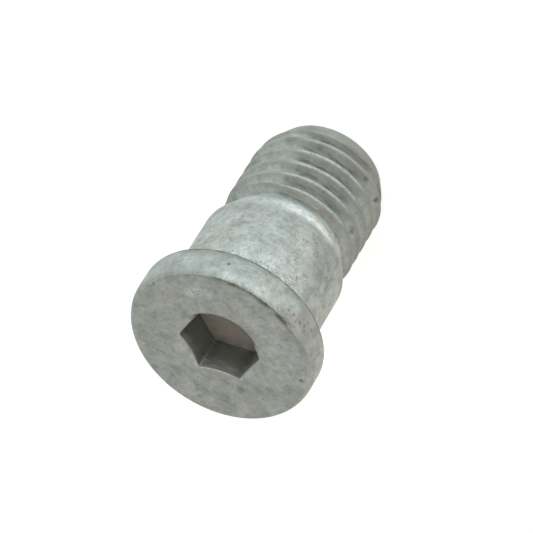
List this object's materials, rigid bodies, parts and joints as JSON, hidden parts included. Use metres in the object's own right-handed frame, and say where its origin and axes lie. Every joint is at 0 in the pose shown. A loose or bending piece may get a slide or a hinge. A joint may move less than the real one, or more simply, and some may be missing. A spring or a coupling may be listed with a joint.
{
  "type": "brake disc retaining screw",
  "caption": "Brake disc retaining screw with a low round head, a hex socket, a plain pilot shank, a cone and a fine right-hand thread with a chamfered end.",
  "frame": {"origin": "centre of the flat thread end, on which the screw stands", "axes": "+Z along the screw's axis towards the head, +X through a corner of the hex socket"},
  "size_m": [0.016, 0.016, 0.0228],
  "materials": {
    "zinc_flake_steel": "matt grey zinc-flake coating, mottled and lightly worn"
  },
  "bodies": {
    "root": {"retaining_screw": "zinc_flake_steel"}
  },
  "joints": []
}
